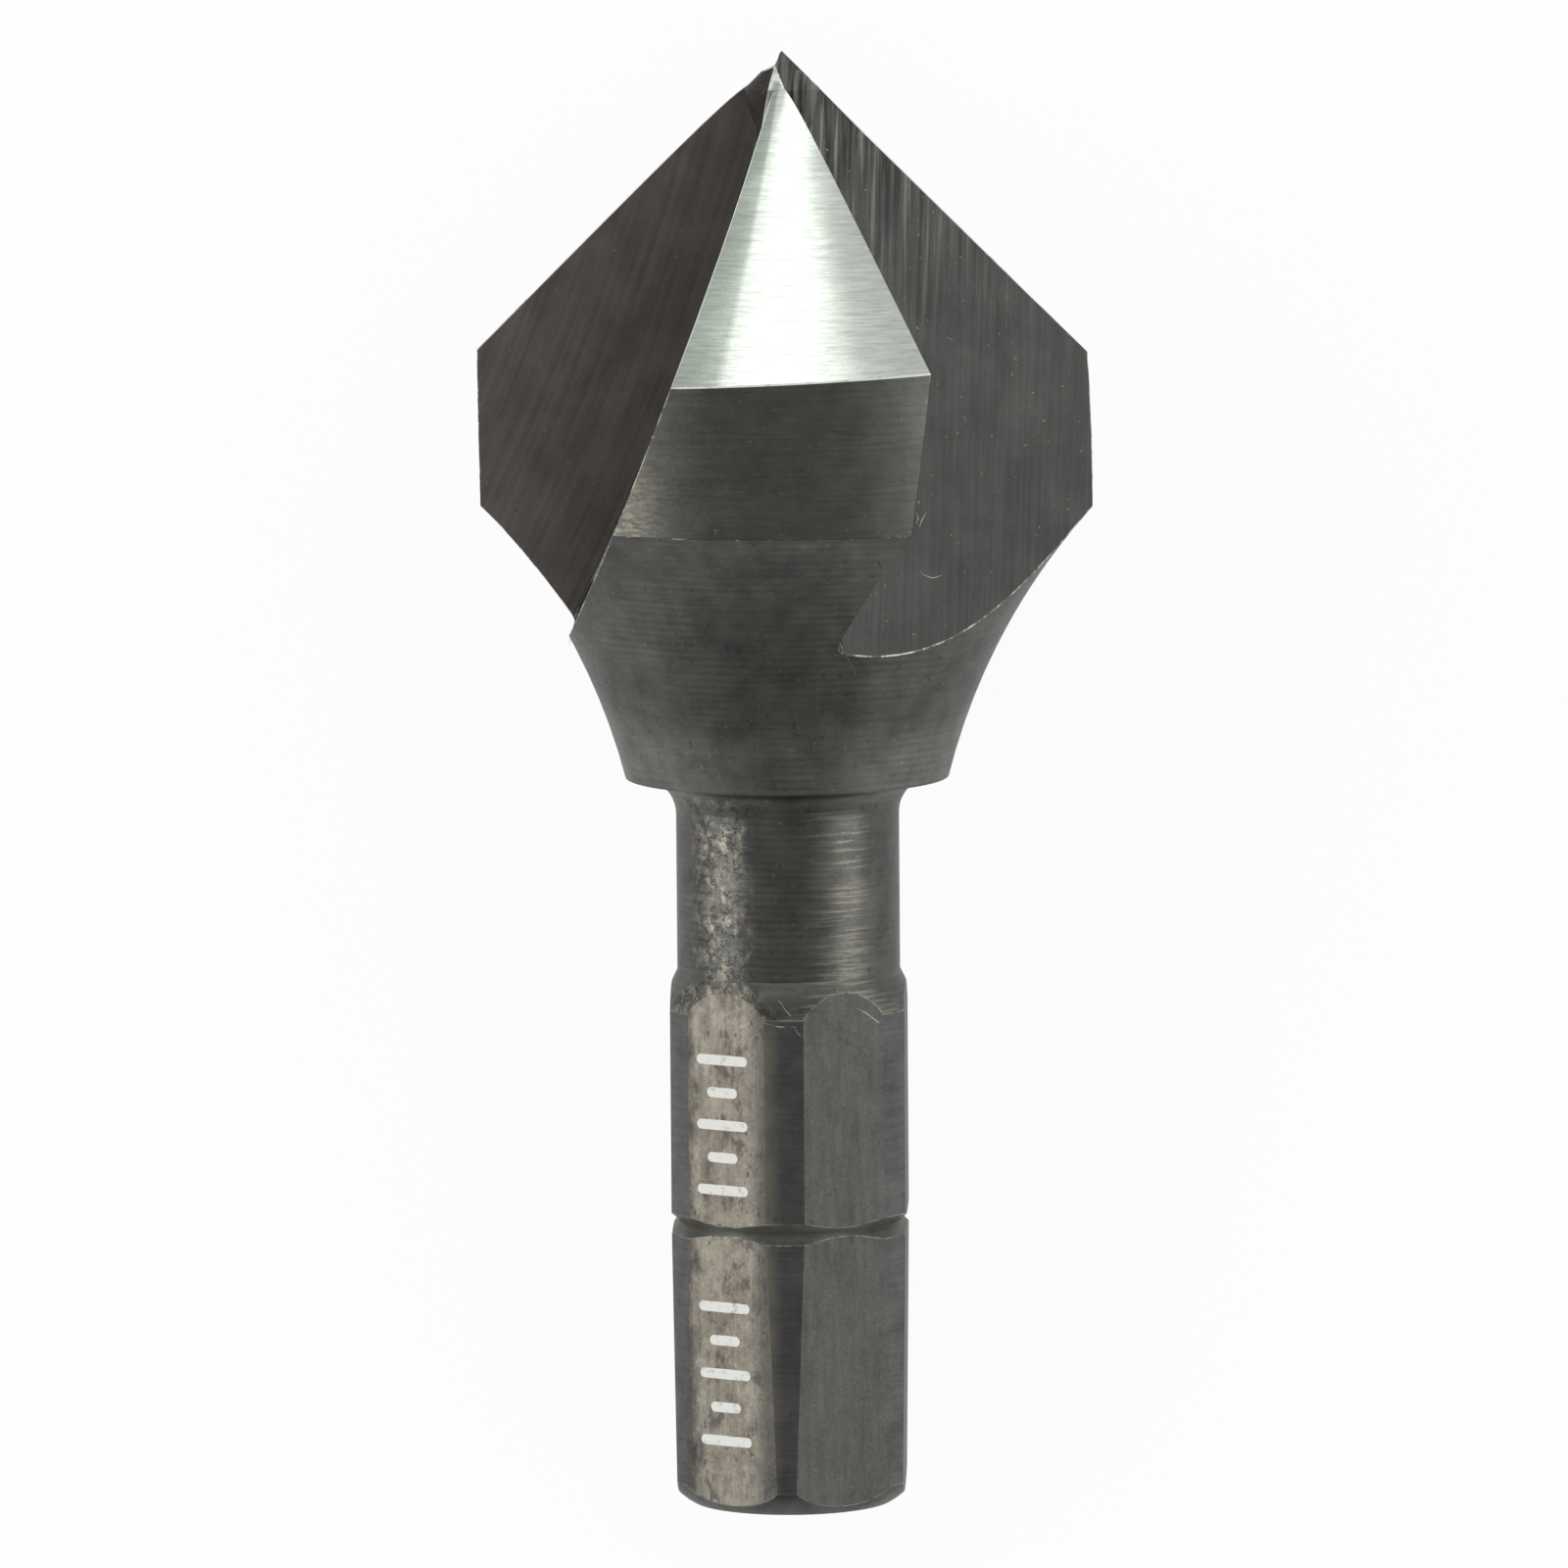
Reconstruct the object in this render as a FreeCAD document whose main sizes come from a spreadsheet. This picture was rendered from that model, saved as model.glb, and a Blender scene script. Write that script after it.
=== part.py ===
# Countersink bit with three cutting lands and a quarter inch hex shank, lying at rest.
# It is turned from one bar: a 90 degree cone, a cylindrical margin, a concave run down to a
# collar, a plain neck, and a shank with six flats and a snap ring groove. A large wheel grinds the
# three flutes, and each land's cone is then ground back behind its cutting edge.
import FreeCAD, Part
import math
import os
import Sketcher

nodeName = "countersink_bit"

# Driving sizes in millimetres and degrees. Each length along the tool is that of one step,
# counted from the end of the shank, and headings are counted round the tool from its own X.
driving = {
    "across_flats": 6.3,
    "shank_corner_diameter": 6.75,
    "shank_end_chamfer": 0.67,
    "shank_end_crown": 1.6,
    "hex_length": 13.5,
    "hex_heading": 23.4,
    "shoulder_length": 0.97,
    "shoulder_crown": 4.0,
    "ring_groove_height": 7.7,
    "ring_groove_depth": 0.33,
    "ring_groove_width": 0.56,
    "ring_groove_crown": 1.0,
    "stub_taper": 0.86,
    "neck_diameter": 6.0,
    "neck_length": 5.22,
    "neck_fillet": 1.0,
    "collar_diameter": 8.7,
    "neck_down_length": 7.27,
    "neck_down_radius": 17.0,
    "head_diameter": 16.5,
    "margin_length": 4.29,
    "point_angle": 90.0,
    "wheel_diameter": 152.6,
    "wheel_bevel": 14.3,
    "wheel_corner_radius": 0.2,
    "wheel_rise": 16.9,
    "root_past_axis": 2.1,
    "rake_past_axis": 0.4,
    "rake_tilt": 8.0,
    "rake_heading": 125.0,
    "relief_shift": 0.36,
    "relief_start_heading": 26.0,
    "relief_lead": 40.0,
    "point_web_diameter": 2.0,
    "point_web_drop": 0.28,
    "point_web_foot_diameter": 0.7,
    "point_flat_heading": 81.0,
    "point_flat_offset": 0.03,
    "point_flat_width": 0.18,
    "point_flat_length": 0.39,
    "point_step_width": 0.69,
    "point_step_length": 0.31,
}

fluteCount = 3
flatCount = 6

# How far a cutting outline reaches past the metal that it removes.
overcut = 2.0
# The band of the wheel that is drawn, deeper and thicker than any flute.
wheelBand = 25.0
wheelThickness = 14.0
# The part of a turn that one relief cut sweeps, from one flute to the next.
reliefSweep = 130.0
# How far down inside the head the point's web is drawn.
webDepth = 4.0

# Radii and heights of the turned steps, as expressions of the driving sizes.
cornerRadius = "Sizes.shank_corner_diameter / 2"
neckRadius = "Sizes.neck_diameter / 2"
headRadius = "Sizes.head_diameter / 2"
neckHeight = "Sizes.hex_length + Sizes.shoulder_length"
collarHeight = f"{neckHeight} + Sizes.neck_length"
marginHeight = f"{collarHeight} + Sizes.neck_down_length"
coneHeight = f"{marginHeight} + Sizes.margin_length"
apexHeight = f"{coneHeight} + {headRadius} / tan(Sizes.point_angle / 2)"
pointHeight = f"{apexHeight} - Sizes.point_web_drop"

xAxis = FreeCAD.Vector(1, 0, 0)
yAxis = FreeCAD.Vector(0, 1, 0)
zAxis = FreeCAD.Vector(0, 0, 1)


def makeSheet(doc):
    sheet = doc.addObject("Spreadsheet::Sheet", "Sizes")
    for row, (name, value) in enumerate(driving.items(), start=1):
        sheet.set(f"A{row}", name)
        sheet.set(f"B{row}", str(value))
        sheet.setAlias(f"B{row}", name)
    doc.recompute()


def originFeature(body, role):
    return next(feature for feature in body.Origin.OriginFeatures if feature.Role == role)


def attach(item, support, turnAxis=zAxis):
    """Attaches a sketch or plane flat on a support, ready to be moved and turned about one axis."""
    item.AttachmentSupport = [(support, "")]
    item.MapMode = "FlatFace"
    item.AttachmentOffset = FreeCAD.Placement(FreeCAD.Vector(), FreeCAD.Rotation(turnAxis, 1))
    item.setExpression("AttachmentOffset.Rotation.Angle", "0")


def holdPoint(sketch, edge, end, corner):
    """Ties one end of an edge to a place given by two expressions."""
    verticalAxisIndex, horizontalAxisIndex, originIndex, pointIndex = -2, -1, -1, 1
    axisIndices = (verticalAxisIndex, horizontalAxisIndex)
    for kind, axisIndex, expression in zip(("DistanceX", "DistanceY"), axisIndices, corner):
        if expression == "0":
            sketch.addConstraint(Sketcher.Constraint("PointOnObject", edge, end, axisIndex))
        else:
            value = sketch.evalExpression(expression)
            index = sketch.addConstraint(Sketcher.Constraint(kind, originIndex, pointIndex, edge, end, value))
            sketch.setExpression(f"Constraints[{index}]", expression)


def arcBetween(start, finish, radius, side):
    """A short arc from start to finish, bowed to the left of the chord if side is -1."""
    chord = finish - start
    square = FreeCAD.Vector(-chord.y, chord.x, 0).normalize() * side
    centre = (start + finish) / 2 + square * math.sqrt(radius ** 2 - (chord.Length / 2) ** 2)
    circle = Part.Circle(centre, zAxis, radius)
    runsForward = (start - centre).cross(finish - centre).z > 0
    first, last = (start, finish) if runsForward else (finish, start)
    return Part.ArcOfCircle(circle, circle.parameter(first), circle.parameter(last)), runsForward


def drawOutline(sketch, corners, arcs=None):
    """Draws a closed outline through corners, each a pair of expressions.

    arcs maps an edge's number to its radius, as an expression, and its side.
    """
    arcs = arcs or {}
    places = [FreeCAD.Vector(*(sketch.evalExpression(part) for part in corner), 0) for corner in corners]
    ends = []
    for number, start in enumerate(places):
        finish = places[(number + 1) % len(places)]
        runsForward = True
        shape = Part.LineSegment(start, finish)
        if number in arcs:
            radius, side = arcs[number]
            shape, runsForward = arcBetween(start, finish, sketch.evalExpression(radius), side)
        edge = sketch.addGeometry(shape, False)
        ends.append((edge, 1, 2) if runsForward else (edge, 2, 1))
    for number, (edge, first, last) in enumerate(ends):
        nextEdge, nextFirst, _ = ends[(number + 1) % len(ends)]
        sketch.addConstraint(Sketcher.Constraint("Coincident", edge, last, nextEdge, nextFirst))
        holdPoint(sketch, edge, first, corners[number])
    for number, (radius, _) in arcs.items():
        edge = ends[number][0]
        index = sketch.addConstraint(Sketcher.Constraint("Radius", edge, sketch.evalExpression(radius)))
        sketch.setExpression(f"Constraints[{index}]", radius)


def newSketch(body, name, support, turnAxis=zAxis):
    sketch = body.newObject("Sketcher::SketchObject", name)
    attach(sketch, support, turnAxis)
    return sketch


def revolveOutline(body, kind, name, sketch, axisName, sweep=360):
    feature = body.newObject(f"PartDesign::{kind}", name)
    feature.Profile = sketch
    feature.ReferenceAxis = (sketch, [axisName])
    feature.Midplane = sweep < 360
    feature.Angle = sweep
    return feature


def patternRound(body, name, cuts, count):
    pattern = body.newObject("PartDesign::PolarPattern", name)
    pattern.Originals = cuts
    pattern.Axis = (originFeature(body, "Z_Axis"), [""])
    pattern.Angle = 360
    pattern.Occurrences = count
    body.Tip = pattern
    return pattern


def turnedBlank(body):
    """The whole turned outline, from the shank end up to the point."""
    sketch = newSketch(body, "blankOutline", originFeature(body, "XZ_Plane"))
    corners = [
        ("0", "0"),
        (f"{cornerRadius} - Sizes.shank_end_chamfer", "0"),
        (cornerRadius, "Sizes.shank_end_chamfer"),
        (cornerRadius, "Sizes.hex_length"),
        (neckRadius, neckHeight),
        (neckRadius, collarHeight),
        ("Sizes.collar_diameter / 2", collarHeight),
        (headRadius, marginHeight),
        (headRadius, coneHeight),
        ("0", apexHeight),
    ]
    endEdgeIndex, shoulderEdgeIndex, neckDownEdgeIndex = 1, 3, 6
    drawOutline(sketch, corners, {
        endEdgeIndex: ("Sizes.shank_end_crown", 1),
        shoulderEdgeIndex: ("Sizes.shoulder_crown", 1),
        neckDownEdgeIndex: ("Sizes.neck_down_radius", -1),
    })
    return revolveOutline(body, "Revolution", "blank", sketch, "V_Axis")


def neckFillet(body, blank):
    """The small radius where the neck meets the flat back of the head."""
    height = blank.evalExpression(collarHeight)
    radius = blank.evalExpression(neckRadius)
    nearby = 1e-6

    def isNeckCorner(edge):
        curve = edge.Curve
        return (isinstance(curve, Part.Circle) and abs(curve.Radius - radius) < nearby
                and abs(curve.Center.z - height) < nearby)

    names = [f"Edge{number}" for number, edge in enumerate(blank.Shape.Edges, start=1) if isNeckCorner(edge)]
    fillet = body.newObject("PartDesign::Fillet", "neckFillet")
    fillet.Base = (blank, names)
    fillet.setExpression("Radius", "Sizes.neck_fillet")
    return fillet


def hexFlats(body):
    """One flat, tapered below the ring groove, repeated round the shank."""
    sketch = newSketch(body, "flatOutline", originFeature(body, "XZ_Plane"), yAxis)
    sketch.setExpression("AttachmentOffset.Rotation.Angle", "Sizes.hex_heading")
    flat = "Sizes.across_flats / 2"
    outside = f"{cornerRadius} + {overcut}"
    drawOutline(sketch, [
        (f"{flat} - Sizes.ring_groove_height * tan(Sizes.stub_taper)", "0"),
        (flat, "Sizes.ring_groove_height"),
        (flat, neckHeight),
        (outside, neckHeight),
        (outside, "0"),
    ])
    pocket = body.newObject("PartDesign::Pocket", "flat")
    pocket.Profile = sketch
    pocket.Type = "ThroughAll"
    pocket.SideType = "Symmetric"
    return patternRound(body, "hexFlats", [pocket], flatCount)


def ringGroove(body):
    """The groove, a V with slightly curved sides, that the ball or ring of a chuck snaps into."""
    sketch = newSketch(body, "ringGrooveOutline", originFeature(body, "XZ_Plane"))
    low = "Sizes.ring_groove_height - Sizes.ring_groove_width / 2"
    high = "Sizes.ring_groove_height + Sizes.ring_groove_width / 2"
    outside = f"{cornerRadius} + {overcut}"
    lowEdgeIndex, highEdgeIndex = 0, 4
    drawOutline(sketch, [
        (f"{cornerRadius} - Sizes.ring_groove_depth", "Sizes.ring_groove_height"),
        (cornerRadius, low),
        (outside, low),
        (outside, high),
        (cornerRadius, high),
    ], {lowEdgeIndex: ("Sizes.ring_groove_crown", 1), highEdgeIndex: ("Sizes.ring_groove_crown", 1)})
    return revolveOutline(body, "Groove", "ringGroove", sketch, "V_Axis")


def wheelPlane(body):
    """A level plane through the cone's apex, turned to the way that the wheel's axle points."""
    plane = body.newObject("PartDesign::Plane", "wheelPlane")
    attach(plane, originFeature(body, "XY_Plane"))
    plane.setExpression("AttachmentOffset.Base.z", apexHeight)
    plane.setExpression("AttachmentOffset.Rotation.Angle", "Sizes.rake_heading")
    return plane


def fluteCut(body):
    """One flute. The wheel's flat side makes a land's rake face, and its bevelled rim the next one's back.

    The sketch's X axis is the wheel's axle, tilted by the rake and set off from the tool's axis.
    """
    sketch = newSketch(body, "wheelOutline", wheelPlane(body), yAxis)
    wheelRadius = "Sizes.wheel_diameter / 2"
    sketch.setExpression("AttachmentOffset.Base.x", "Sizes.wheel_rise * sin(Sizes.rake_tilt)")
    sketch.setExpression("AttachmentOffset.Base.y", f"Sizes.root_past_axis - {wheelRadius}")
    sketch.setExpression("AttachmentOffset.Base.z", "Sizes.wheel_rise * cos(Sizes.rake_tilt)")
    sketch.setExpression("AttachmentOffset.Rotation.Angle", "Sizes.rake_tilt")
    flatSide = "-Sizes.rake_past_axis"
    farSide = f"{wheelThickness} - Sizes.rake_past_axis"
    bandRadius = f"{wheelRadius} - {wheelBand}"
    roundStart = (flatSide, f"{wheelRadius} - Sizes.wheel_corner_radius")
    roundEnd = (
        "Sizes.wheel_corner_radius * (1 + sin(Sizes.wheel_bevel)) - Sizes.rake_past_axis",
        f"{wheelRadius} - Sizes.wheel_corner_radius * (1 - cos(Sizes.wheel_bevel))",
    )
    farRim = (farSide, f"{roundEnd[1]} - ({farSide} - ({roundEnd[0]})) * tan(Sizes.wheel_bevel)")
    cornerEdgeIndex = 4
    drawOutline(
        sketch,
        [roundStart, (flatSide, bandRadius), (farSide, bandRadius), farRim, roundEnd],
        {cornerEdgeIndex: ("Sizes.wheel_corner_radius", 1)},
    )
    return revolveOutline(body, "Groove", "flute", sketch, "H_Axis")


def reliefCut(body):
    """One land's ground back cone: the cone of the head, about an axis moved ahead of the cutting edge."""
    sketch = newSketch(body, "reliefOutline", originFeature(body, "XZ_Plane"))
    heading = "(Sizes.relief_start_heading + Sizes.relief_lead)"
    sketch.setExpression("AttachmentOffset.Base.x", f"Sizes.relief_shift * cos({heading})")
    sketch.setExpression("AttachmentOffset.Base.z", f"-Sizes.relief_shift * sin({heading})")
    lowApex = f"{apexHeight} - Sizes.relief_shift * cos(Sizes.relief_lead) / tan(Sizes.point_angle / 2)"
    reach = f"({headRadius} + {overcut})"
    top = f"{apexHeight} + {overcut}"
    drawOutline(sketch, [
        ("0", lowApex),
        (reach, f"{lowApex} - {reach} / tan(Sizes.point_angle / 2)"),
        (reach, top),
        ("0", top),
    ])
    return revolveOutline(body, "Groove", "relief", sketch, "V_Axis", reliefSweep)


def pointWeb(body):
    """The small core that the flutes leave at the point."""
    sketch = newSketch(body, "pointWebOutline", originFeature(body, "XZ_Plane"))
    webRadius = "Sizes.point_web_diameter / 2"
    bottom = f"{pointHeight} - {webDepth}"
    drawOutline(sketch, [
        ("0", pointHeight),
        ("0", bottom),
        ("Sizes.point_web_foot_diameter / 2", bottom),
        (webRadius, f"{pointHeight} - {webRadius} / tan(Sizes.point_angle / 2)"),
    ])
    return revolveOutline(body, "Revolution", "pointWeb", sketch, "V_Axis")


def pointFlat(body):
    """A flat ground on one side of the point, with a step below it, so that the point is a short chisel."""
    sketch = newSketch(body, "pointFlatOutline", originFeature(body, "XZ_Plane"), yAxis)
    sketch.setExpression("AttachmentOffset.Rotation.Angle", "Sizes.point_flat_heading")
    flatEnd = f"{pointHeight} - Sizes.point_flat_length"
    stepWidth = "-Sizes.point_flat_width - Sizes.point_step_width"
    stepEnd = f"{flatEnd} - Sizes.point_step_length"
    above = f"{pointHeight} + {overcut}"
    outside = f"{stepWidth} - {overcut}"
    drawOutline(sketch, [
        ("-Sizes.point_flat_offset", pointHeight),
        ("-Sizes.point_flat_width", flatEnd),
        (stepWidth, stepEnd),
        (outside, stepEnd),
        (outside, above),
        ("-Sizes.point_flat_offset", above),
    ])
    pocket = body.newObject("PartDesign::Pocket", "pointFlat")
    pocket.Profile = sketch
    pocket.Type = "ThroughAll"
    pocket.SideType = "Symmetric"
    return pocket


def fluteMouths(shape, lipRadius, lipHeight):
    """The headings of the two lips on either side of each flute, at the shank end of the margin."""
    nearby = 1e-4
    lips = sorted(
        math.atan2(vertex.Y, vertex.X) for vertex in shape.Vertexes
        if abs(vertex.Z - lipHeight) < nearby and abs(math.hypot(vertex.X, vertex.Y) - lipRadius) < nearby)
    mouths = []
    for first, second in zip(lips, lips[1:] + [lips[0] + math.tau]):
        middle = (first + second) / 2
        probe = FreeCAD.Vector(math.cos(middle), math.sin(middle), 0) * (lipRadius * 0.99) + zAxis * lipHeight
        if not shape.isInside(probe, nearby, True):
            mouths.append((first, second))
    return mouths


def samplePoints(edge):
    steps = 40
    start, finish = edge.ParameterRange
    return [edge.valueAt(start + (finish - start) * step / steps) for step in range(steps + 1)]


def restingPlacement(body):
    """Lays the tool down as it comes to rest, with its point towards +Y and one land facing up.

    It rests across a flute on two lips of the margin, and on the end of the shank. The origin is
    on the floor, under the middle of the tool's box.
    """
    shape = body.Shape.Solids[0]
    lipRadius = body.evalExpression(headRadius)
    lipHeight = body.evalExpression(marginHeight)
    mouths = fluteMouths(shape, lipRadius, lipHeight)
    first, second = max(mouths, key=lambda mouth: -math.cos((mouth[0] + mouth[1]) / 2))
    down = (first + second) / 2
    lipDepth = lipRadius * math.cos((second - first) / 2)
    hexTop = body.evalExpression("Sizes.hex_length")
    shankEnd = [
        point for edge in shape.Edges if edge.BoundBox.ZMax < hexTop
        for point in samplePoints(edge)]
    tilt = min(
        math.atan2(lipDepth - point.x * math.cos(down) - point.y * math.sin(down), lipHeight - point.z)
        for point in shankEnd)
    quarterTurn = 90
    roll = FreeCAD.Rotation(zAxis, quarterTurn - math.degrees(down))
    layDown = FreeCAD.Rotation(xAxis, math.degrees(tilt) - quarterTurn)
    rotation = layDown.multiply(roll)
    laid = shape.copy()
    laid.Placement = FreeCAD.Placement(FreeCAD.Vector(), rotation)
    box = laid.optimalBoundingBox(False)
    print(f"tilt {math.degrees(tilt):.3f} down {math.degrees(down):.3f} degrees")
    return FreeCAD.Placement(FreeCAD.Vector(-box.Center.x, -box.Center.y, -box.ZMin), rotation)


def makeBit(doc):
    body = doc.addObject("PartDesign::Body", "CountersinkBit")
    body.Label = nodeName
    blank = turnedBlank(body)
    doc.recompute()
    steps = [neckFillet(body, blank), hexFlats(body), ringGroove(body)]
    doc.recompute()
    flute = fluteCut(body)
    doc.recompute()
    relief = reliefCut(body)
    doc.recompute()
    steps += [flute, relief, patternRound(body, "flutes", [flute, relief], fluteCount)]
    doc.recompute()
    checkCuts([blank] + steps)
    web = pointWeb(body)
    doc.recompute()
    body.Tip = pointFlat(body)
    doc.recompute()
    checkCuts([blank, web, body.Tip])
    body.Placement = restingPlacement(body)
    doc.recompute()
    return body


def checkCuts(steps):
    """Each step after the second takes metal away."""
    volume = steps[1].Shape.Volume
    for step in steps[2:]:
        if not step.Shape.Volume < volume:
            raise RuntimeError(f"{step.Name} cuts nothing")
        volume = step.Shape.Volume


def checkDocument(doc, body):
    failed = [item.Name for item in doc.Objects if {"Invalid", "Error"} & set(item.State)]
    if failed:
        raise RuntimeError(f"failed objects: {failed}")
    if body.Shape.isNull() or not body.Shape.isValid() or len(body.Shape.Solids) != 1:
        raise RuntimeError("the bit is not one valid solid")


def main():
    doc = FreeCAD.newDocument("countersink")
    makeSheet(doc)
    body = makeBit(doc)
    checkDocument(doc, body)
    os.makedirs("parts", exist_ok=True)
    body.Shape.exportStep(f"parts/{nodeName}.step")
    box = body.Shape.optimalBoundingBox(False)
    print(f"{nodeName}: {box.XLength:.2f} x {box.YLength:.2f} x {box.ZLength:.2f} mm, "
          f"{body.Shape.Volume:.1f} cubic mm")


main()
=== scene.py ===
# A fluted countersink bit with a hex shank, lying on a pale floor and seen from above.
from math import atan2, cos, degrees, hypot, pi, radians, sin, tan

import bmesh
import bpy
from mathutils import Euler, Matrix, Vector
from mathutils.bvhtree import BVHTree


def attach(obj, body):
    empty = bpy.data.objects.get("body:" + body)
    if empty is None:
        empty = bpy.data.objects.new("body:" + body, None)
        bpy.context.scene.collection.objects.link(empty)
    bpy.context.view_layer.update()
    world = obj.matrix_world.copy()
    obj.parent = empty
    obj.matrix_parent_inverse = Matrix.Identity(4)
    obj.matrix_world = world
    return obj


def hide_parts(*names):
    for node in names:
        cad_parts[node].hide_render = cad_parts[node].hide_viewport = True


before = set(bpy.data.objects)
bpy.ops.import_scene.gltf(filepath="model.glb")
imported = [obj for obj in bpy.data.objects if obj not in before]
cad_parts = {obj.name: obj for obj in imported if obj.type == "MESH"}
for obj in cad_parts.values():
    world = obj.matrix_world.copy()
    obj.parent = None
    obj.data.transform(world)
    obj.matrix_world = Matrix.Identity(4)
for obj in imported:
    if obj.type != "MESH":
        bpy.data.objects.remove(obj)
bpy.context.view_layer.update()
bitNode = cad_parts["countersink_bit"]
mm = 0.001

# Where the bit lies: the middle of its shank end, how far it is rolled, and how far it leans from upright
bitPlace = {"endCentre": (0.001, -19.2336, 3.2497), "roll": 81.041, "lean": 82.038}
endCentre = Vector(bitPlace["endCentre"])
leanTurn = Euler((-radians(bitPlace["lean"]), 0, 0)).to_matrix()
turnToRow = leanTurn @ Euler((0, 0, -radians(bitPlace["roll"]))).to_matrix()
turnToBit = turnToRow.transposed()

# Heights of the bit's steps in millimetres, from its shank end, and where its six flats face in degrees
steps = {
    "endTop": 2.0,
    "grooveAt": 7.7,
    "grooveReach": 0.4,
    "shoulderTop": 14.7,
    "collar": 19.69,
    "fluteBottom": 20.69,
    "marginBottom": 26.96,
    "coneBase": 31.25,
    "point": 39.22,
    "coneTop": 39.5,
    "firstFlat": 23.4,
    "flats": 6,
    "flatReach": 3.15,
}
flatStep = 360 / steps["flats"]

# The grinding wheel that made the first flute, in the bit's own frame: z runs up the bit from its shank end
wheel = {
    "centre": (8.613, -73.73, 56.263),
    "axle": (0.9865, 0.08631, -0.13917),
    "flatSide": -0.2,
    "sideFade": (0.0, 0.05),
    "rimStart": 0.049,
    "rimRadius": 76.294,
    "bevel": 14.3,
    "flutes": 3,
    "headHeight": 33.0,
}
fluteStep = 2 * pi / wheel["flutes"]


def toRow(point):
    return (turnToRow @ Vector(point) + endCentre) * mm


def toBit(point):
    return turnToBit @ (point / mm - endCentre)


# Short ways to write nodes

def addNode(tree, kind, *values, **settings):
    node = tree.nodes.new("ShaderNode" + kind)
    for name, value in settings.items():
        setattr(node, name, value)
    for place, value in values:
        if isinstance(value, bpy.types.NodeSocket):
            tree.links.new(value, node.inputs[place])
        else:
            node.inputs[place].default_value = value
    return node


def calculate(tree, operation, first, second=0.0):
    return addNode(tree, "Math", (0, first), (1, second), operation=operation).outputs[0]


def times(tree, first, second):
    return calculate(tree, "MULTIPLY", first, second)


def fade(tree, value, start, end, low=0.0, high=1.0):
    node = addNode(tree, "MapRange", ("Value", value), ("From Min", start), ("From Max", end),
                   ("To Min", low), ("To Max", high))
    return node.outputs["Result"]


def noise(tree, vector, scale, detail=3.0, rough=0.55):
    node = addNode(tree, "TexNoise", ("Vector", vector), ("Scale", scale), ("Detail", detail),
                   ("Roughness", rough))
    return node.outputs["Fac"]


def blend(tree, amount, first, second, kind="MIX"):
    node = tree.nodes.new("ShaderNodeMix")
    node.data_type = "RGBA"
    node.blend_type = kind
    for place, value in ((0, amount), (6, first), (7, second)):
        if isinstance(value, bpy.types.NodeSocket):
            tree.links.new(value, node.inputs[place])
        else:
            node.inputs[place].default_value = value if place == 0 else (*value, 1.0)
    return node.outputs[2]


def tint(tree, amount, colour, tone):
    return blend(tree, amount, colour, blend(tree, 1.0, colour, tone, "MULTIPLY"))


def stretch(tree, vector, amounts):
    return addNode(tree, "VectorMath", (0, vector), (1, amounts), operation="MULTIPLY").outputs[0]


def mapped(tree, turn, offset):
    coordinates = addNode(tree, "TexCoord").outputs["Object"]
    node = addNode(tree, "Mapping", ("Vector", coordinates), ("Scale", (1 / mm,) * 3), vector_type="POINT")
    node.inputs["Rotation"].default_value = turn.to_euler("XYZ")
    node.inputs["Location"].default_value = offset
    return node.outputs[0]


# The bit's own coordinates in millimetres, as one vector
def bitCoordinates(tree):
    return mapped(tree, turnToBit, -(turnToBit @ endCentre))


def parts(tree, vector):
    return addNode(tree, "SeparateXYZ", (0, vector)).outputs


# How far a point lies from the bit's axis towards a heading
def towardsHeading(tree, point, heading):
    x, y, z = parts(tree, point)
    return calculate(tree, "ADD", times(tree, x, cos(heading)), times(tree, y, sin(heading)))


def fluteTurn(flute):
    return Euler((0, 0, flute * fluteStep)).to_matrix()


def wheelTurn(flute):
    centre = fluteTurn(flute) @ Vector(wheel["centre"])
    axle = (fluteTurn(flute) @ Vector(wheel["axle"])).normalized()
    towards = Vector((0, 0, wheel["headHeight"])) - centre
    outward = (towards - towards.dot(axle) * axle).normalized()
    return Matrix((outward.cross(axle), outward, axle)), centre


# Along the wheel's rim, out from its axle and across it: grinding lines follow the rim
def wheelCoordinates(tree, flute):
    turn, centre = wheelTurn(flute)
    point = mapped(tree, turn @ turnToBit, -(turn @ (turnToBit @ endCentre + centre)))
    along, outward, across = parts(tree, point)
    level = addNode(tree, "CombineXYZ", (0, along), (1, outward)).outputs[0]
    reach = addNode(tree, "VectorMath", (0, level), operation="LENGTH").outputs["Value"]
    return along, reach, across


# How far a point lies beyond the wheel's rim, where the heel is, and whether it is on the wheel's side
def heelDistance(tree, flute):
    along, reach, across = wheelCoordinates(tree, flute)
    rim = calculate(tree, "ADD", times(tree, across, -tan(radians(wheel["bevel"]))), wheel["rimRadius"])
    return calculate(tree, "SUBTRACT", reach, rim), fade(tree, across, *wheel["sideFade"])


def startSteel(name):
    material = bpy.data.materials.new(name)
    material.use_nodes = True
    tree = material.node_tree
    shader = tree.nodes["Principled BSDF"]
    return material, tree, shader


def finishSteel(tree, shader, colour, rough, height, depth, metal=1.0):
    bump = addNode(tree, "Bump", ("Height", height), ("Distance", depth * mm), ("Strength", 1.0))
    for place, value in (("Base Color", colour), ("Roughness", rough), ("Normal", bump.outputs[0])):
        tree.links.new(value, shader.inputs[place])
    shader.inputs["Metallic"].default_value = metal


# Small flecks or pits, each where a fine noise peaks
def flecks(tree, point, scale, level, width=0.04):
    return fade(tree, noise(tree, point, scale, 2.0, 0.6), level, level + width)


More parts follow.
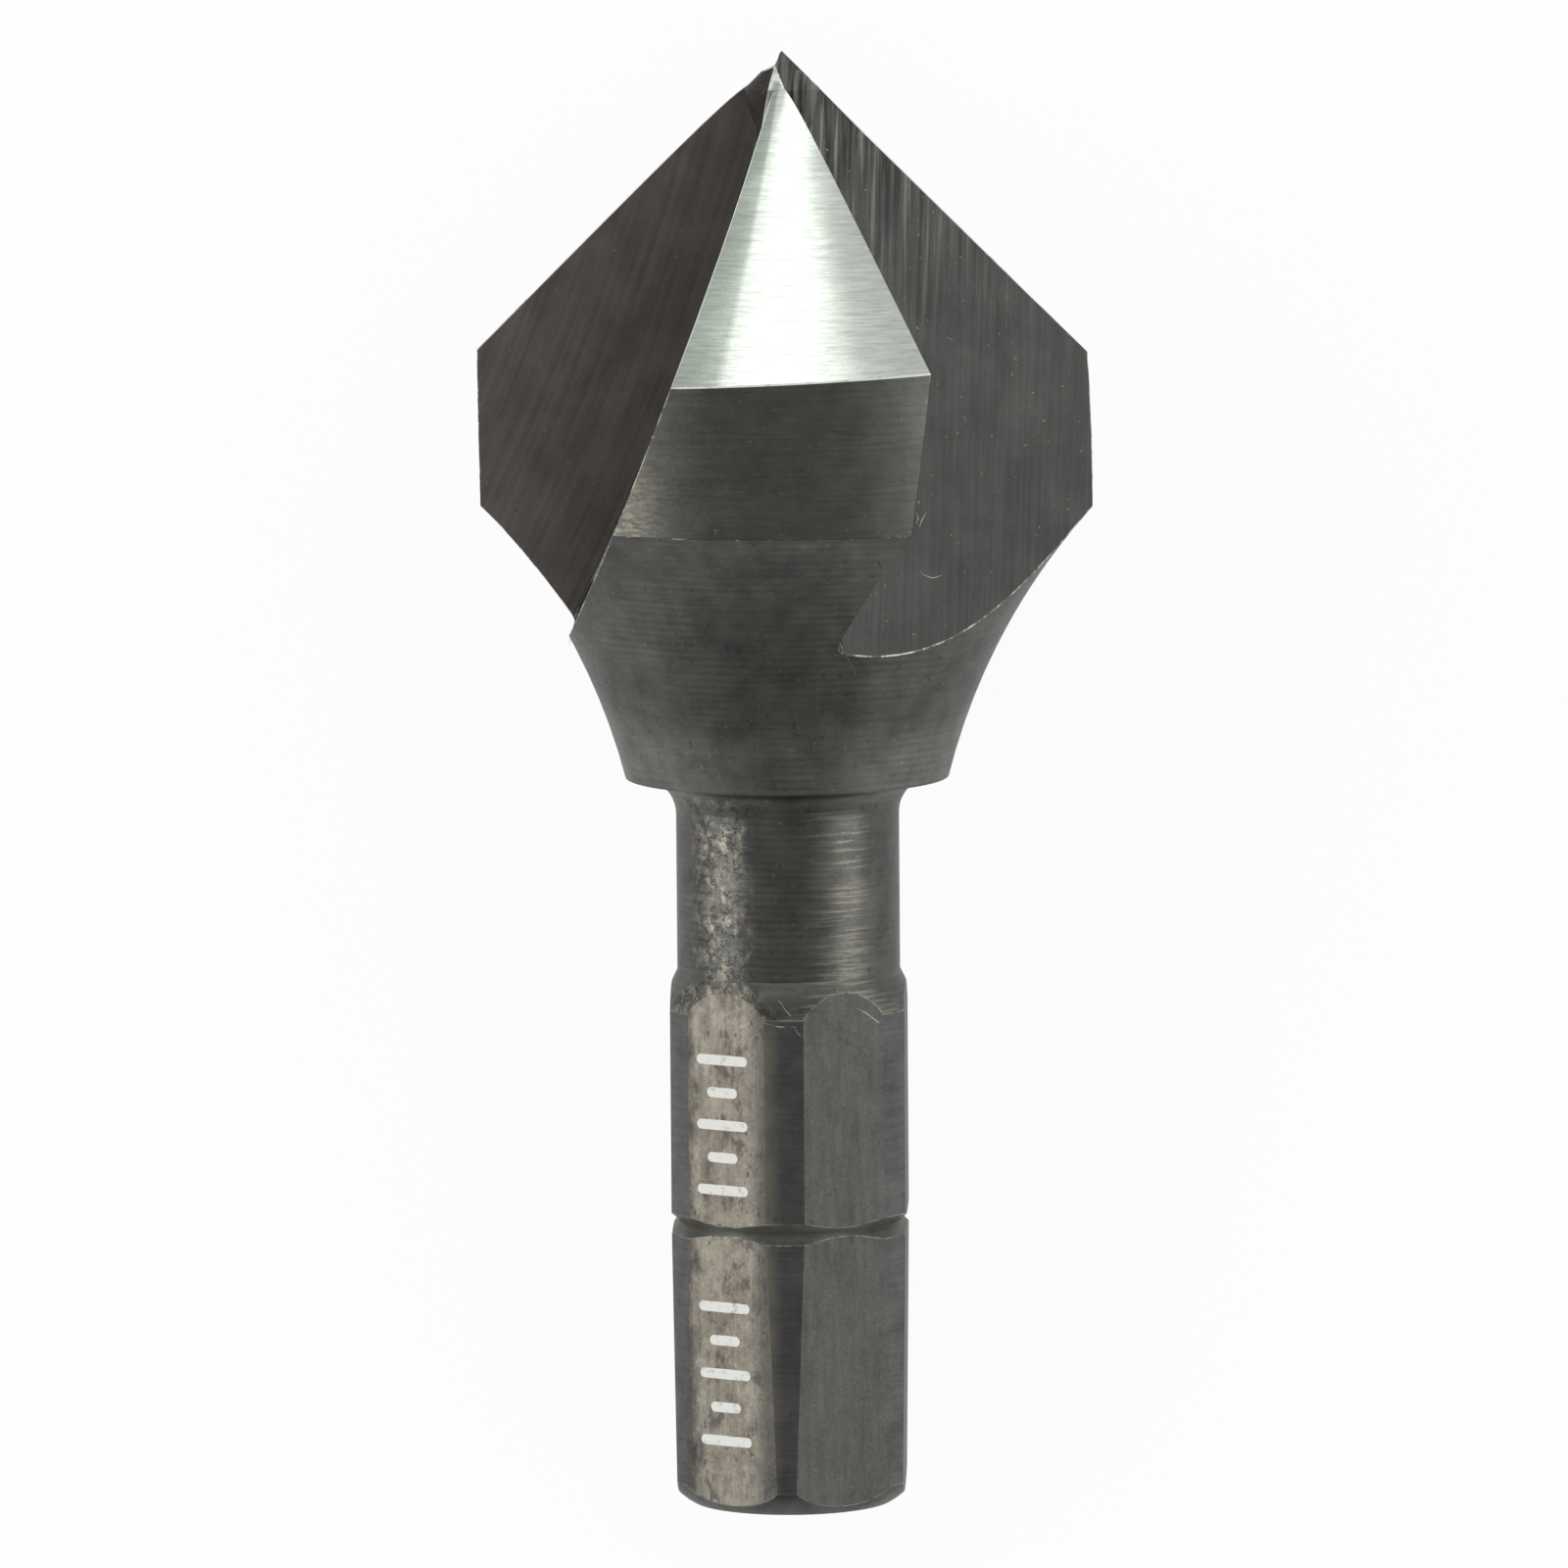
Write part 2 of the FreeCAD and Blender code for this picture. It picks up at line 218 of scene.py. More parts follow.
# In this and the looks below, a noise is scale, detail and roughness, and a fade is two ends and two results
groundLook = {
    "light": (0.68, 0.72, 0.66),
    "dark": (0.46, 0.51, 0.46),
    "lines": (1.1, 1.1, 17.0),
    "lineNoise": (1.0, 4.0, 0.6),
    "lineFade": (0.3, 0.62),
    "broken": (2.5, 2.5, 30.0),
    "brokenNoise": (1.0, 3.0, 0.6),
    "brokenHeight": 0.8,
    "patchNoise": (0.9, 3.0),
    "patchFade": (0.5, 0.75, 0.0, 0.4),
    "heelBand": (0.66, 0.69, 0.66),
    "bandShare": 0.15,
    "bandSoft": 0.015,
    "bandStart": (-0.05, -0.02),
    "rough": (0.3, 0.7, 0.22, 0.32),
    "depth": 0.0022,
}


# The lands of the cone: ground bright, with fine lines round the cone and a darker band by the heel
def groundSteel():
    look = groundLook
    material, tree, shader = startSteel("groundSteel")
    point = bitCoordinates(tree)
    lines = noise(tree, stretch(tree, point, look["lines"]), *look["lineNoise"])
    broken = noise(tree, stretch(tree, point, look["broken"]), *look["brokenNoise"])
    patches = noise(tree, point, *look["patchNoise"])
    colour = blend(tree, fade(tree, lines, *look["lineFade"]), look["dark"], look["light"])
    colour = blend(tree, fade(tree, patches, *look["patchFade"]), colour, look["dark"])
    below = calculate(tree, "SUBTRACT", steps["point"], parts(tree, point)[2])
    share = look["bandShare"]
    for flute in range(wheel["flutes"]):
        distance, onSide = heelDistance(tree, flute)
        away = calculate(tree, "DIVIDE", distance, below)
        band = fade(tree, away, share + look["bandSoft"], share - look["bandSoft"])
        band = times(tree, times(tree, band, fade(tree, away, *look["bandStart"])), onSide)
        colour = tint(tree, band, colour, look["heelBand"])
    height = calculate(tree, "ADD", lines, times(tree, broken, look["brokenHeight"]))
    finishSteel(tree, shader, colour, fade(tree, broken, *look["rough"]), height, look["depth"])
    return material


# What all the oxide finishes share, unless one says otherwise
oxideBase = {
    "lineNoise": (1.0, 3.0, 0.6),
    "mottlingNoise": (1.1, 6.0, 0.62),
    "grainNoise": (11.0, 2.0),
    "grainHeight": 0.4,
    "toneFade": (0.37, 0.63),
    "specks": (6.0, 0.68),
    "speckShare": 0.6,
    "pitStretch": (1.0, 1.0, 0.7),
    "pitFlecks": (4.3, 0.66),
    "pitTone": (0.04, 0.04, 0.04),
    "rubbedFade": (0.35, 0.6, 0.5, 1.0),
    "rough": (0.3, 0.7, 0.3, 0.42),
    "level": False,
    "metal": 1.0,
    "gloss": 0.5,
}

# Oxide finishes: dark and light tones, how fine lines run, how strong they are, and how deep
oxideLooks = {
    "marginOxide": {"dark": (0.14, 0.14, 0.129), "light": (0.21, 0.209, 0.192), "lines": (0.6, 0.6, 12.0),
                    "lineShare": 0.45, "depth": 0.003, "worn": (0.34, 0.31, 0.23), "pits": 0.1},
    "turnedOxide": {"dark": (0.115, 0.117, 0.11), "light": (0.185, 0.185, 0.17), "lines": (0.3, 0.3, 13.0),
                    "lineShare": 0.25, "depth": 0.003, "worn": (0.26, 0.23, 0.17), "pits": 0.35,
                    "specks": (6.0, 0.655)},
    "flatOxide": {"dark": (0.1, 0.102, 0.096), "light": (0.14, 0.14, 0.129), "lines": (4.0, 4.0, 0.5),
                  "lineShare": 0.5, "depth": 0.002, "worn": (0.2, 0.2, 0.17), "pits": 0.3},
    "bronzeOxide": {"dark": (0.16, 0.144, 0.12), "light": (0.32, 0.292, 0.242), "lines": (7.0, 7.0, 0.4),
                    "lineShare": 0.35, "depth": 0.003, "worn": (0.38, 0.345, 0.27), "pits": 0.6},
    "stripOxide": {"dark": (0.13, 0.133, 0.132), "light": (0.22, 0.22, 0.215), "lines": (0.6, 0.6, 12.0),
                   "lineShare": 0.4, "depth": 0.002, "worn": (0.24, 0.23, 0.2), "pits": 0.3,
                   "rubbed": (0.42, 0.38, 0.315)},
    "grooveOxide": {"dark": (0.1, 0.1, 0.088), "light": (0.19, 0.186, 0.16), "lines": (0.4, 0.4, 9.0),
                    "lineShare": 0.5, "depth": 0.003, "worn": (0.3, 0.29, 0.24), "pits": 0.3, "metal": 0.4},
    "endOxide": {"dark": (0.09, 0.092, 0.086), "light": (0.16, 0.158, 0.145), "lines": (2.0, 2.0, 2.0),
                 "lineShare": 0.3, "depth": 0.003, "worn": (0.25, 0.24, 0.2), "pits": 0.3},
    "rakeCore": {"dark": (0.03, 0.025, 0.022), "light": (0.055, 0.046, 0.041), "lines": (3.0, 3.0, 1.0),
                 "lineShare": 0.4, "depth": 0.002, "worn": (0.2, 0.18, 0.14), "pits": 0.0, "metal": 0.0,
                 "gloss": 0.1},
    "wallCore": {"dark": (0.02, 0.021, 0.02), "light": (0.17, 0.17, 0.158), "lines": (8.0, 0.3, 0.3),
                 "lineShare": 0.95, "level": True, "depth": 0.002, "worn": (0.3, 0.28, 0.22), "pits": 0.0,
                 "metal": 0.0, "gloss": 0.1},
}


def oxideSteel(name):
    look = {**oxideBase, **oxideLooks[name]}
    material, tree, shader = startSteel(name)
    point = bitCoordinates(tree)
    across = mapped(tree, Matrix.Identity(3), Vector()) if look["level"] else point
    lines = noise(tree, stretch(tree, across, look["lines"]), *look["lineNoise"])
    mottling = noise(tree, point, *look["mottlingNoise"])
    grain = noise(tree, point, *look["grainNoise"])
    share = look["lineShare"]
    tone = calculate(tree, "ADD", times(tree, lines, share), times(tree, mottling, 1 - share))
    colour = blend(tree, fade(tree, tone, *look["toneFade"]), look["dark"], look["light"])
    specks = times(tree, flecks(tree, point, *look["specks"]), look["speckShare"])
    colour = blend(tree, specks, colour, look["worn"])
    pits = flecks(tree, stretch(tree, point, look["pitStretch"]), *look["pitFlecks"])
    colour = blend(tree, times(tree, pits, look["pits"]), colour, look["pitTone"])
    height = calculate(tree, "ADD", lines, times(tree, grain, look["grainHeight"]))
    if name == "turnedOxide":
        colour, height = turningMarksAndSheen(tree, point, colour, height)
        colour = neckWearAndHighlights(tree, point, colour)
    if name == "marginOxide":
        colour = wornCorner(tree, point, colour, look["worn"])
    if name == "bronzeOxide":
        colour = bronzeBlotches(tree, point, colour)
    if name == "stripOxide":
        rubbed = times(tree, besideMarks(tree, point), fade(tree, mottling, *look["rubbedFade"]))
        colour = blend(tree, rubbed, colour, look["rubbed"])
    finishSteel(tree, shader, colour, fade(tree, grain, *look["rough"]), height, look["depth"], look["metal"])
    shader.inputs["Specular IOR Level"].default_value = look["gloss"]
    return material


turningLook = {
    "pitch": 0.2,
    "wanderStretch": (0.35, 0.35, 0.6),
    "wander": 3.0,
    "patchStretch": (0.5, 0.5, 0.35),
    "softNoise": (1.0, 2.0),
    "patchFade": (0.42, 0.6),
    "strength": 0.22,
    "ridgeTone": (1.9, 1.85, 1.75),
    "ridgeHeight": 0.5,
    "footReach": 2.2,
    "footFull": 1.2,
    "footEdge": 0.1,
    "footSheenShare": 0.36,
    "footSheenTone": (2.1, 2.08, 2.0),
}


# Fine turning lines in patches below the margin, and a painted sheen that lightens the foot above the collar
def turningMarksAndSheen(tree, point, colour, height):
    look = turningLook
    z = parts(tree, point)[2]
    wander = noise(tree, stretch(tree, point, look["wanderStretch"]), *look["softNoise"])
    wander = times(tree, wander, look["wander"])
    turns = calculate(tree, "ADD", times(tree, z, 2 * pi / look["pitch"]), wander)
    ridge = fade(tree, calculate(tree, "SINE", turns), -1.0, 1.0)
    patch = noise(tree, stretch(tree, point, look["patchStretch"]), *look["softNoise"])
    ridge = times(tree, ridge, fade(tree, patch, *look["patchFade"]))
    colour = tint(tree, times(tree, ridge, look["strength"]), colour, look["ridgeTone"])
    height = calculate(tree, "ADD", height, times(tree, ridge, look["ridgeHeight"]))
    # Painted sheen: a band just above the collar is lightened as if lit
    collar = steps["collar"]
    above = fade(tree, z, collar - look["footEdge"], collar + look["footEdge"], 0.0, look["footSheenShare"])
    footSheen = times(tree, fade(tree, z, collar + look["footReach"], collar + look["footFull"]), above)
    return tint(tree, footSheen, colour, look["footSheenTone"]), height


neckWearAndHighlightLook = {
    "topFade": 0.8,
    "rustHighlightHeading": -43.0,
    "linedHighlightHeading": 25.0,
    "headingFade": (2.74, 2.97),
    "rustStretch": (3.0, 3.0, 2.6),
    "rustNoise": (1.0, 6.0, 0.7),
    "rustFade": (0.47, 0.6),
    "rustHighlightTone": (0.33, 0.305, 0.25),
    "bareHighlightFade": (0.58, 0.66, 0.0, 0.6),
    "bareHighlightTone": (0.6, 0.56, 0.47),
    "crackStretch": (1.6, 1.6, 2.2),
    "crackNoise": (1.0, 6.0, 0.68),
    "crackStart": (0.5, 0.485),
    "crackEnd": (0.45, 0.465),
    "crackShare": 0.8,
    "crackTone": (0.045, 0.042, 0.04),
    "linedStretch": (0.5, 0.5, 9.0),
    "linedNoise": (1.0, 4.0, 0.7),
    "linedFade": (0.5, 0.62, 0.0, 0.8),
}


# Worn bronze patches with cracks along one side of the neck, and pale turning lines along another; both lie
# where the neck's two highlights fall, and their pale tones are partly painted highlight
def neckWearAndHighlights(tree, point, colour):
    look = neckWearAndHighlightLook
    onNeck = fade(tree, parts(tree, point)[2], steps["collar"], steps["collar"] - look["topFade"])
    rustyHighlight = towardsHeading(tree, point, radians(look["rustHighlightHeading"]))
    rustyHighlight = times(tree, onNeck, fade(tree, rustyHighlight, *look["headingFade"]))
    linedHighlight = towardsHeading(tree, point, radians(look["linedHighlightHeading"]))
    linedHighlight = times(tree, onNeck, fade(tree, linedHighlight, *look["headingFade"]))
    rust = noise(tree, stretch(tree, point, look["rustStretch"]), *look["rustNoise"])
    # Painted highlight in part: pale rust and bare tones on the side where the neck's left highlight falls
    colour = blend(tree, times(tree, fade(tree, rust, *look["rustFade"]), rustyHighlight), colour, look["rustHighlightTone"])
    colour = blend(tree, times(tree, fade(tree, rust, *look["bareHighlightFade"]), rustyHighlight), colour, look["bareHighlightTone"])
    wide = noise(tree, stretch(tree, point, look["crackStretch"]), *look["crackNoise"])
    crack = times(tree, fade(tree, wide, *look["crackStart"]), fade(tree, wide, *look["crackEnd"]))
    crack = times(tree, times(tree, crack, rustyHighlight), look["crackShare"])
    colour = blend(tree, crack, colour, look["crackTone"])
    # Painted highlight in part: pale turning lines where the neck's right highlight falls
    lines = noise(tree, stretch(tree, point, look["linedStretch"]), *look["linedNoise"])
    return blend(tree, times(tree, fade(tree, lines, *look["linedFade"]), linedHighlight), colour, look["rustHighlightTone"])


cornerLook = {
    "height": (2.6, 0.3),
    "reach": (1.8, 0.2),
    "scratchStretch": (3.0, 3.0, 12.0),
    "scratchNoise": (1.0, 4.0, 0.7),
    "scratchFade": (0.44, 0.6),
}


# The oxide is rubbed through at each margin's lower corner, beside the heel
def wornCorner(tree, point, colour, tone):
    look = cornerLook
    top, bottom = (steps["marginBottom"] + height for height in look["height"])
    low = fade(tree, parts(tree, point)[2], top, bottom)
    scratch = noise(tree, stretch(tree, point, look["scratchStretch"]), *look["scratchNoise"])
    for flute in range(wheel["flutes"]):
        distance, onSide = heelDistance(tree, flute)
        near = times(tree, fade(tree, distance, *look["reach"]), onSide)
        wear = times(tree, times(tree, low, near), fade(tree, scratch, *look["scratchFade"]))
        colour = blend(tree, wear, colour, tone)
    return colour


markedLook = {
    "stripInner": (0.9, 1.1),
    "stripOuter": (1.62, 1.22, 0.0, 0.9),
    "stripFacing": (1.0, 2.0),
    "blotchStretch": (1.0, 1.0, 0.6),
    "blotchNoise": (2.4, 6.0, 0.66),
    "paleFade": (0.52, 0.66, 0.0, 0.5),
    "paleTone": (0.42, 0.38, 0.315),
    "darkFade": (0.46, 0.36, 0.0, 0.75),
    "darkTone": (0.08, 0.075, 0.07),
    "ragged": 0.5,
    "farFade": (0.95, 1.4, 0.0, 0.75),
    "farTone": (0.075, 0.073, 0.07),
    "nearFade": (-0.72, -0.98, 0.0, 0.8),
    "nearTone": (0.06, 0.058, 0.056),
}


def markedHeading():
    return radians(steps["firstFlat"] + flatStep * tickMarks["flat"])


# The strip next to the marked flat is rubbed bare along that flat
def besideMarks(tree, point):
    look = markedLook
    aside = towardsHeading(tree, point, markedHeading() + pi / 2)
    near = times(tree, fade(tree, aside, *look["stripInner"]), fade(tree, aside, *look["stripOuter"]))
    facing = towardsHeading(tree, point, markedHeading())
    return times(tree, near, fade(tree, facing, *look["stripFacing"]))


# The marked flat is bronze where the oxide is thin, and darkens towards its edges
def bronzeBlotches(tree, point, colour):
    look = markedLook
    blotch = noise(tree, stretch(tree, point, look["blotchStretch"]), *look["blotchNoise"])
    colour = blend(tree, fade(tree, blotch, *look["paleFade"]), colour, look["paleTone"])
    colour = blend(tree, fade(tree, blotch, *look["darkFade"]), colour, look["darkTone"])
    aside = towardsHeading(tree, point, markedHeading() + pi / 2)
    ragged = calculate(tree, "ADD", aside, times(tree, blotch, look["ragged"]))
    colour = blend(tree, fade(tree, ragged, *look["farFade"]), colour, look["farTone"])
    return blend(tree, fade(tree, ragged, *look["nearFade"]), colour, look["nearTone"])


# Flute faces: the rake is smooth and brown, the wall is lined up the bit, most near the point
fluteLooks = {
    "rake": {"dark": (0.115, 0.1, 0.092), "light": (0.18, 0.159, 0.143), "fleck": (0.34, 0.29, 0.2),
             "depth": 0.0025, "lineNoise": (5.0, 4.0, 0.65), "metal": 0.3},
    "wall": {"dark": (0.086, 0.089, 0.083), "light": (0.124, 0.127, 0.118), "fleck": (0.36, 0.35, 0.29),
             "depth": 0.003, "lineNoise": (7.0, 4.0, 0.65), "metal": 1.0},
}
fluteBase = {
    "alongScale": 0.03,
    "mottlingNoise": (0.8, 4.0),
    "lineShare": 0.55,
    "toneFade": (0.38, 0.62),
    "flecks": (7.0, 0.71, 0.03),
    "fleckShare": 0.8,
    "grainNoise": (14.0, 2.0),
    "rough": (0.3, 0.7, 0.34, 0.46),
}
streakLook = {
    "straight": 1,
    "start": 31.0,
    "full": 39.5,
    "noise": (6.5, 2.0, 0.75),
    "paleFade": (0.54, 0.66),
    "pale": (0.32, 0.32, 0.29),
    "deepFade": (0.47, 0.38),
    "deepShare": 0.9,
    "deep": (0.025, 0.025, 0.025),
}


def fluteSteel(kind, flute):
    look = {**fluteBase, **fluteLooks[kind]}
    material, tree, shader = startSteel(f"{kind}Grind{flute}")
    along, side, across = wheelCoordinates(tree, flute)
    point = bitCoordinates(tree)
    if kind == "wall":
        level = fluteTurn(flute - streakLook["straight"]) @ turnToBit @ Vector((1, 0, 0))
        side = addNode(tree, "VectorMath", (0, point), (1, level), operation="DOT_PRODUCT").outputs["Value"]
    place = addNode(tree, "CombineXYZ", (0, times(tree, along, look["alongScale"])), (1, side)).outputs[0]
    lines = noise(tree, place, *look["lineNoise"])
    mottling = noise(tree, point, *look["mottlingNoise"])
    share = look["lineShare"]
    tone = calculate(tree, "ADD", times(tree, lines, share), times(tree, mottling, 1 - share))
    colour = blend(tree, fade(tree, tone, *look["toneFade"]), look["dark"], look["light"])
    height = lines
    if kind == "wall":
        colour, height = wallStreaks(tree, point, place, colour, height)
    fleck = times(tree, flecks(tree, point, *look["flecks"]), look["fleckShare"])
    colour = blend(tree, fleck, colour, look["fleck"])
    rough = fade(tree, noise(tree, point, *look["grainNoise"]), *look["rough"])
    finishSteel(tree, shader, colour, rough, height, look["depth"], look["metal"])
    return material


# Pale and deep streaks that grow towards the point
def wallStreaks(tree, point, place, colour, height):
    look = streakLook
    near = fade(tree, parts(tree, point)[2], look["start"], look["full"])
    streaks = noise(tree, place, *look["noise"])
    pale = times(tree, near, fade(tree, streaks, *look["paleFade"]))
    deep = times(tree, near, fade(tree, streaks, *look["deepFade"]))
    colour = blend(tree, pale, colour, look["pale"])
    colour = blend(tree, times(tree, deep, look["deepShare"]), colour, look["deep"])
    return colour, calculate(tree, "ADD", height, times(tree, streaks, near))


# Bare steel along sharp edges and scratches, its pale tone partly a painted highlight: its tones, and the
# noise level at which it shows
edgeLooks = {
    "bareLandEdgeAndHighlight": {"bareAndHighlight": (0.85, 0.87, 0.82), "dull": (0.55, 0.58, 0.53), "level": 0.36},
    "dullEdge": {"bareAndHighlight": (0.7, 0.69, 0.62), "dull": (0.14, 0.14, 0.13), "level": 0.46},
    "lowerEdge": {"bareAndHighlight": (0.5, 0.49, 0.43), "dull": (0.06, 0.06, 0.056), "level": 0.56},
    "shankEdgeAndHighlight": {"bareAndHighlight": (0.3, 0.29, 0.26), "dull": (0.1, 0.1, 0.095), "level": 0.42},
    "scratchedSteel": {"bareAndHighlight": (0.75, 0.76, 0.72), "dull": (0.4, 0.41, 0.39), "level": 0.4},
}
edgeBase = {
    "noise": (2.2, 4.0, 0.7),
    "soft": 0.12,
    "rough": (0.0, 1.0, 0.45, 0.3),
    "depth": 0.002,
    "metal": 0.35,
}


def wornEdgeAndHighlight(name):
    look = {**edgeBase, **edgeLooks[name]}
    material, tree, shader = startSteel(name)
    breaks = noise(tree, bitCoordinates(tree), *look["noise"])
    wear = fade(tree, breaks, look["level"], look["level"] + look["soft"])
    # The pale tone is bare steel and in part a painted edge highlight
    colour = blend(tree, wear, look["dull"], look["bareAndHighlight"])
    finishSteel(tree, shader, colour, fade(tree, wear, *look["rough"]), wear, look["depth"], look["metal"])
    return material


# How near a face has to be to the wheel's side or rim, and how squarely it has to face it
wheelNear = {
    "beyondRim": 0.1,
    "side": 0.03,
    "sideFacing": 0.97,
    "rim": 0.04,
    "rimFacing": 0.9,
    "cornerTop": 0.1,
    "cornerReach": 0.35,
    "cornerSideFacing": 0.2,
    "cornerRimFacing": 0.1,
}


# The flute face that a face belongs to, if any
def wheelFace(centre, normal):
    near = wheelNear
    for flute in range(wheel["flutes"]):
        turn, middle = wheelTurn(flute)
        place = turn @ (centre - middle)
        facing = turn @ normal
        reach = hypot(place.x, place.y)
        if reach > wheel["rimRadius"] + near["beyondRim"]:
            continue
        if abs(place.z - wheel["flatSide"]) < near["side"] and facing.z > near["sideFacing"]:
            return f"rakeGrind{flute}"
        rim = wheel["rimRadius"] - (place.z - wheel["rimStart"]) * tan(radians(wheel["bevel"]))
        inward = -(facing.x * place.x + facing.y * place.y) / reach
        inCorner = place.z < near["cornerTop"] and rim - reach < near["cornerReach"]
        inCorner = inCorner and facing.z > near["cornerSideFacing"] and inward > near["cornerRimFacing"]
        if abs(reach - rim) < near["rim"] and inward > near["rimFacing"] or inCorner:
            return f"wallGrind{flute}"
    return None


# The core at the point: its cone, the skirt below that the flutes leave, and the edges that cross it
web = {
    "radius": 1.0,
    "near": 0.05,
    "footRadius": 0.35,
    "footHeight": 35.22,
    "skirtNear": 0.15,
    "skirtFacing": 0.85,
    "landHeading": -9.0,
    "halfLand": 60.0,
    "cutting": (-0.14, 0.39, 0.511),
    "heel": (-0.18, 0.39, -0.2),
    "cutNear": 1e-9,
    "tipBottom": 38.7,
    "fluteHeading": -77.0,
    "finishes": ("rakeCore", "wallCore", "rakeCore"),
    "flatBottom": 38.4,
    "mostRelief": 0.45,
}
skirtTop = steps["point"] - web["radius"]


def onWeb(centre):
    radius = hypot(centre.x, centre.y)
    if centre.z > skirtTop:
        return abs(radius - (steps["point"] - centre.z)) < web["near"]
    share = (skirtTop - centre.z) / (skirtTop - web["footHeight"])
    skirt = web["radius"] + (web["footRadius"] - web["radius"]) * share
    return centre.z > web["footHeight"] and abs(radius - skirt) < web["skirtNear"]


def landTurn(land):
    return Euler((0, 0, radians(web["landHeading"]) + land * fluteStep)).to_matrix()


# A plane that carries a land's cutting edge or heel across the core, as a point and a normal
def webPlane(land, edge):
    across, drop, slope = web[edge]
    turn = landTurn(land)
    place = turn @ Vector((0, across, 0)) + Vector((0, 0, steps["point"] - drop))
    return place, turn @ Vector((0, 1, slope))


def coneRegion(centre):
    for land in range(wheel["flutes"]):
        local = landTurn(land).transposed() @ centre
        if local.x > 0 and abs(local.y) < local.x * tan(radians(web["halfLand"])):
            cuttingAt, cuttingFacing = webPlane(land, "cutting")
            heelAt, heelFacing = webPlane(land, "heel")
            if (centre - cuttingAt).dot(cuttingFacing) > 0:
                return "wallCore"
            return "groundSteel" if (centre - heelAt).dot(heelFacing) > 0 else "rakeCore"
    return "groundSteel"


# Below the tip the core takes after the face of each flute that the camera sees beside it
def webRegion(centre):
    region = coneRegion(centre)
    if centre.z > web["tipBottom"]:
        return region
    heading = radians(degrees(atan2(centre.y, centre.x)) - web["fluteHeading"])
    finish = web["finishes"][round(heading / fluteStep) % wheel["flutes"]]
    onSkirt = centre.z < skirtTop
    if region == "groundSteel" and not (onSkirt and finish == "wallCore"):
        return region
    return finish


# How squarely a face of the shank has to look down, out or along a flat's heading in degrees
shankNear = {"endFacing": -0.2, "upright": 0.1, "flatTurn": 12.0}


def shankRegion(centre, normal):
    if normal.z < shankNear["endFacing"] and centre.z < steps["endTop"]:
        return "endOxide"
    turned = (degrees(atan2(normal.y, normal.x)) - steps["firstFlat"]) / flatStep
    flat = round(turned)
    upright = abs(normal.z) < shankNear["upright"]
    if upright and abs(turned - flat) * flatStep < shankNear["flatTurn"]:
        return "bronzeOxide" if flat % steps["flats"] == tickMarks["flat"] else "flatOxide"
    if abs(centre.z - steps["grooveAt"]) < steps["grooveReach"]:
        return "grooveOxide"
    return "stripOxide" if abs(normal.z) <= shankNear["upright"] else "turnedOxide"


# The finish of a face, from its middle and its normal in the bit's own frame
def regionOf(centre, normal):
    radius = hypot(centre.x, centre.y)
    outward = (normal.x * centre.x + normal.y * centre.y) / radius
    if onWeb(centre) and (outward > web["skirtFacing"] or centre.z > skirtTop):
        return webRegion(centre)
    ground = wheelFace(centre, normal) if centre.z > steps["fluteBottom"] else None
    if ground:
        return ground
    if centre.z > steps["coneBase"]:
        relief = steps["coneTop"] - centre.z - radius
        return "groundSteel" if relief < web["mostRelief"] or centre.z > web["flatBottom"] else "wallCore"
    if centre.z > steps["marginBottom"]:
        return "marginOxide"
    if centre.z > steps["shoulderTop"]:
        return "turnedOxide"
    return shankRegion(centre, normal)


# The core's faces are cut along the planes of the lands' edges, so that each takes one finish
def splitWeb(shape):
    for land in range(wheel["flutes"]):
        for edge in ("cutting", "heel"):
            place, facing = webPlane(land, edge)
            faces = [face for face in shape.faces if onWeb(toBit(face.calc_center_median()))]
            chosen = set(faces)
            for face in faces:
                chosen.update(face.edges)
                chosen.update(face.verts)
            bmesh.ops.bisect_plane(shape, geom=list(chosen), dist=web["cutNear"], plane_co=toRow(place),
                                   plane_no=turnToRow @ facing)


edgeWear = {
    "weld": 0.0005,
    "sharpAngle": 24.0,
    "seamAngle": 4.0,
    "leastAngle": 8.0,
    "landWidth": 0.028,
    "bodyWidth": 0.024,
    "shankWidth": 0.014,
}


# Thin faces along the edges where two finishes meet, coloured as bare steel and in part as a painted edge
# highlight
def wearAndHighlightEdges(shape, names):
    land = names.index("groundSteel")
    ends = {names.index(name) for name in names if name.startswith(("rake", "wall"))}
    body = {names.index("marginOxide"), names.index("turnedOxide")}
    shank = {names.index(name) for name in ("flatOxide", "bronzeOxide", "stripOxide")}
    rounds = {names.index(name) for name in ("turnedOxide", "grooveOxide", "endOxide")}
    for width, wanted, finish in (
            (edgeWear["shankWidth"], lambda a, b: a in shank and b in rounds or b in shank and a in rounds,
             "shankEdgeAndHighlight"),
            (edgeWear["shankWidth"], lambda a, b: a in body and b in body, "lowerEdge"),
            (edgeWear["bodyWidth"], lambda a, b: a in body and b in ends or b in body and a in ends,
             "dullEdge"),
            (edgeWear["landWidth"], lambda a, b: land in (a, b), "bareLandEdgeAndHighlight")):
        chosen = []
        for edge in shape.edges:
            if len(edge.link_faces) == 2:
                first, second = (face.material_index for face in edge.link_faces)
                bent = edge.calc_face_angle(0) > radians(edgeWear["leastAngle"])
                if first != second and wanted(first, second) and bent:
                    chosen.append(edge)
        before = len(shape.faces)
        bmesh.ops.bevel(shape, geom=chosen, offset=width * mm, offset_type="OFFSET", segments=1, profile=0.5,
                        affect="EDGES", clamp_overlap=False, material=names.index(finish))
        print(finish, "edges", len(chosen), "new faces", len(shape.faces) - before)


